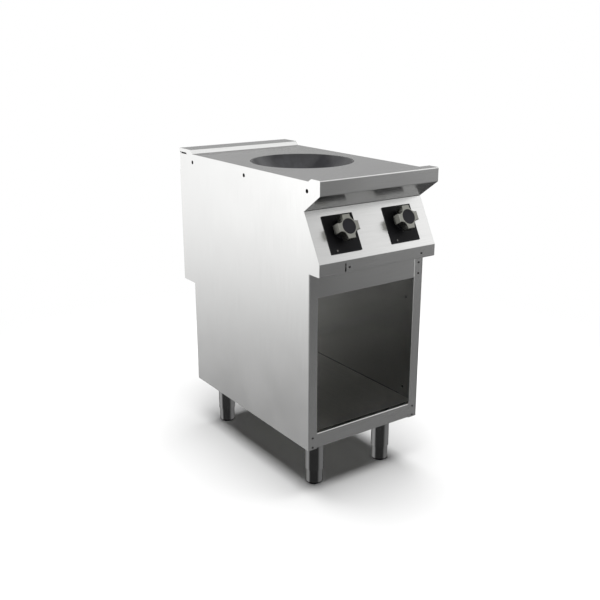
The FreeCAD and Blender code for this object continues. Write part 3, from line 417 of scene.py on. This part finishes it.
def make_door_hole_shades(side, sign):
    """A domed black plug in each of the post's two door holes, which no door uses: painted shade standing
    in for the dark inside the holes.
    """
    for mount in frame["record"]["mounts"]:
        if mount["name"] != f"door_hinge_{side}":
            continue
        half = mount["dims"]["spacing_y_mm"] * MM / 2
        radius = mount["dims"]["hole_r_mm"] * MM - HOLE_SHADE_GAP
        profile = [
            (0.0, HOLE_SHADE_DOME),
            (radius * HOLE_SHADE_SHOULDER, HOLE_SHADE_DOME * HOLE_SHADE_SHOULDER_RISE),
            (radius, 0.0),
            (radius, -HOLE_SHADE_DEPTH),
        ]
        for level, shift in (("low", -half), ("high", half)):
            middle = Vector(mount["pos_m"]) + Vector((0.0, 0.0, shift))
            built = bmesh.new()
            rings = []
            for out, along in profile:
                ring = []
                for step in range(HOLE_SHADE_SIDES if out else 1):
                    turn = 2 * math.pi * step / HOLE_SHADE_SIDES
                    spot = (-sign * along, out * math.cos(turn), out * math.sin(turn))
                    ring.append(built.verts.new(middle + Vector(spot)))
                rings.append(ring)
            for step in range(HOLE_SHADE_SIDES):
                after = (step + 1) % HOLE_SHADE_SIDES
                built.faces.new((rings[0][0], rings[1][step], rings[1][after]))
                for inner, outer in zip(rings[1:], rings[2:]):
                    built.faces.new((inner[step], outer[step], outer[after], inner[after]))
            built.faces.new(rings[-1])
            # each plug's black is painted shade for the inside of its hole
            new_piece(f"door_hole_shade_{side}_{level}", built, seal_black)


def make_vent_shade_strip(side, sign):
    """A dark strip inside the panel, stepped up under the upstand to stand behind the slot: painted shade
    that makes the slot read dark.
    """
    panel_low, panel_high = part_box(f"side_panel_{side}")
    outer = sign * (max(-panel_low.x, panel_high.x) - SHADE_STRIP_SET_BACK)
    inner = outer - sign * SHADE_STRIP_THICK
    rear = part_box("worktop")[1].y - SHADE_STRIP_REAR_GAP
    front = rear - SHADE_STRIP_LENGTH
    step = rear - SHADE_STRIP_STEP
    foot = SHADE_STRIP_LOW_TOP - SHADE_STRIP_HEIGHT
    built = bmesh.new()
    for top, start, end in ((SHADE_STRIP_LOW_TOP, front, step - SHADE_STRIP_JOIN), (SHADE_STRIP_HIGH_TOP, step, rear)):
        profile = [(outer, foot), (outer, top), (inner, top), (inner, foot)]
        sweep(built, profile, start, end)
    # the strip's black is painted shade seen through the slot
    new_piece(f"vent_shade_strip_{side}", built, seal_black)


for side, sign in (("left", -1), ("right", 1)):
    make_joint_shadow_strip(side, sign)
    make_door_hole_shades(side, sign)
    make_vent_shade_strip(side, sign)


# ---------------------------------------------------------------- floor, light and camera

FLOOR_RADIUS = 14.0
FLOOR_SIDES = 96
FLOOR_CLOUDS = 1.5
# how far from the middle the floor starts to turn into the white sweep, and where it has
SWEEP_START = 0.9
SWEEP_END = 1.9
# the even light that matt surfaces get from the surround
AMBIENT = 0.035

# The surround, by direction. Each row is where a change starts and ends along one axis of the direction,
# and what it is at each: a level, a factor on one (TURN), or the second of two levels' share (SHARE).
BEHIND_LEFT_RISE = (-0.46, -0.15, 0.40, 1.62)
BEHIND_LEFT_TURN = (-0.448, -0.541, 0.84, 1.12)
BEHIND_RIGHT_FALL = (-0.25, -0.50, 0.47, 0.05)
BEHIND_LEFT_SHARE = (0.25, -0.30, 0.0, 1.0)
FRONT_RISE = (-0.30, 0.55, 0.165, 0.85)
FRONT_BELOW = (-0.42, -0.85, 0.0, 1.0)
FRONT_RIGHT_TURN = (0.52, 0.74, 0.646, 2.2)
FRONT_LEFT_RISE = (-0.36, -0.20, 0.30, 1.30)
FRONT_LEFT_SHARE = (0.42, 0.15, 0.0, 1.0)
FRONT_LOW_RISE = (0.10, 0.60, 0.04, 0.26)
FRONT_LOW_SHARE = (-0.36, -0.40, 0.0, 1.0)
FRONT_SHARE = (0.45, 0.0, 0.0, 1.0)
OVERHEAD_RISE = (0.12, -0.04, 0.45, 1.45)
OVERHEAD_SHARE = (0.64, 0.80, 0.0, 1.0)

LAMP_PLACE = (0.0, -0.05, 3.4)
LAMP_TARGET = (0.0, -0.05, 0.0)
LAMP_SIZE = 3.0
LAMP_POWER = 312

CAMERA_PLACE = (-1.3888, -1.9790, 1.2423)
CAMERA_TILT = 72.27
CAMERA_TURN = -35.03
CAMERA_LENS = 49.22
CAMERA_SENSOR = 36.0


def make_floor():
    """A wide pale floor that runs out into a white sweep. Metal sees the studio's surround in its place."""
    mesh = bpy.data.meshes.new("floor")
    built = bmesh.new()
    bmesh.ops.create_circle(built, cap_ends=True, radius=FLOOR_RADIUS, segments=FLOOR_SIDES)
    built.to_mesh(mesh)
    built.free()
    floor = bpy.data.objects.new("floor", mesh)
    bpy.context.scene.collection.objects.link(floor)
    made = Material("floor_paint", roughness=0.9)
    clouds = made.noise([FLOOR_CLOUDS] * 3, detail=2.0)
    made.colours(clouds, (NOISE_LOW, (0.62, 0.62, 0.62)), (NOISE_HIGH, (0.635, 0.635, 0.635)))
    path = made.node("ShaderNodeLightPath")
    sweep = made.node("ShaderNodeEmission")
    away = made.node("ShaderNodeVectorMath", operation="LENGTH")
    made.link(made.place, away.inputs[0])
    far = made.ramp(away.outputs["Value"], SWEEP_START, SWEEP_END, 0.0, 1.0)
    seen_far = made.math("MULTIPLY", far, path.outputs["Is Camera Ray"])
    pale = made.mix_shaders(seen_far, made.shader.outputs[0], sweep.outputs[0])
    open_floor = made.node("ShaderNodeBsdfTransparent")
    whole = made.mix_shaders(path.outputs["Is Glossy Ray"], pale, open_floor.outputs[0])
    made.link(whole, made.tree.nodes["Material Output"].inputs["Surface"])
    mesh.materials.append(made.data)


def make_world():
    """The studio round the object: plain white to the camera, grey levels by direction to metal."""
    world = bpy.data.worlds.new("studio")
    world.use_nodes = True
    made = Graph(world.node_tree)
    apart = made.node("ShaderNodeSeparateXYZ")
    made.link(made.node("ShaderNodeTexCoord").outputs["Generated"], apart.inputs[0])
    right, back, up = apart.outputs
    left_rise = made.ramp(up, *BEHIND_LEFT_RISE)
    behind_left = made.math("MULTIPLY", left_rise, made.ramp(right, *BEHIND_LEFT_TURN, "LINEAR"))
    behind_right = made.ramp(up, *BEHIND_RIGHT_FALL)
    behind = made.mix(made.ramp(right, *BEHIND_LEFT_SHARE), behind_right, behind_left)
    upright = made.math("ADD", made.ramp(up, *FRONT_RISE), made.ramp(up, *FRONT_BELOW))
    front_right = made.math("MULTIPLY", upright, made.ramp(right, *FRONT_RIGHT_TURN, "LINEAR"))
    front_left = made.ramp(up, *FRONT_LEFT_RISE)
    front_high = made.mix(made.ramp(right, *FRONT_LEFT_SHARE), front_right, front_left)
    front_low = made.ramp(right, *FRONT_LOW_RISE)
    front = made.mix(made.ramp(up, *FRONT_LOW_SHARE), front_high, front_low)
    around = made.mix(made.ramp(back, *FRONT_SHARE), behind, front)
    overhead = made.ramp(back, *OVERHEAD_RISE)
    level = made.mix(made.ramp(up, *OVERHEAD_SHARE), around, overhead)
    path = made.node("ShaderNodeLightPath")
    strength = made.mix(path.outputs["Is Diffuse Ray"], level, AMBIENT)
    surround = world.node_tree.nodes["Background"]
    made.link(strength, surround.inputs["Strength"])
    surround.inputs["Color"].default_value = (1.0, 1.0, 1.0, 1.0)
    backdrop = made.node("ShaderNodeBackground")
    backdrop.inputs["Color"].default_value = (1.0, 1.0, 1.0, 1.0)
    whole = made.mix_shaders(path.outputs["Is Camera Ray"], surround.outputs[0], backdrop.outputs[0])
    made.link(whole, world.node_tree.nodes["World Output"].inputs["Surface"])
    world.cycles.sampling_method = "NONE"
    bpy.context.scene.world = world


def make_lamp():
    """A wide soft lamp straight overhead, which metal doesn't mirror."""
    data = bpy.data.lights.new("overhead", "AREA")
    data.shape = "RECTANGLE"
    data.size = LAMP_SIZE
    data.size_y = LAMP_SIZE
    data.energy = LAMP_POWER
    light = bpy.data.objects.new("overhead", data)
    bpy.context.scene.collection.objects.link(light)
    light.location = LAMP_PLACE
    aim = Vector(LAMP_TARGET) - Vector(LAMP_PLACE)
    light.rotation_euler = aim.to_track_quat("-Z", "Y").to_euler()
    light.visible_glossy = False


make_floor()
make_world()
make_lamp()
bpy.context.scene.view_settings.view_transform = "Standard"

camera_data = bpy.data.cameras.new("camera")
camera_data.lens = CAMERA_LENS
camera_data.sensor_width = CAMERA_SENSOR
camera = bpy.data.objects.new("camera", camera_data)
bpy.context.scene.collection.objects.link(camera)
camera.location = CAMERA_PLACE
camera.rotation_euler = (math.radians(CAMERA_TILT), 0.0, math.radians(CAMERA_TURN))
bpy.context.scene.camera = camera
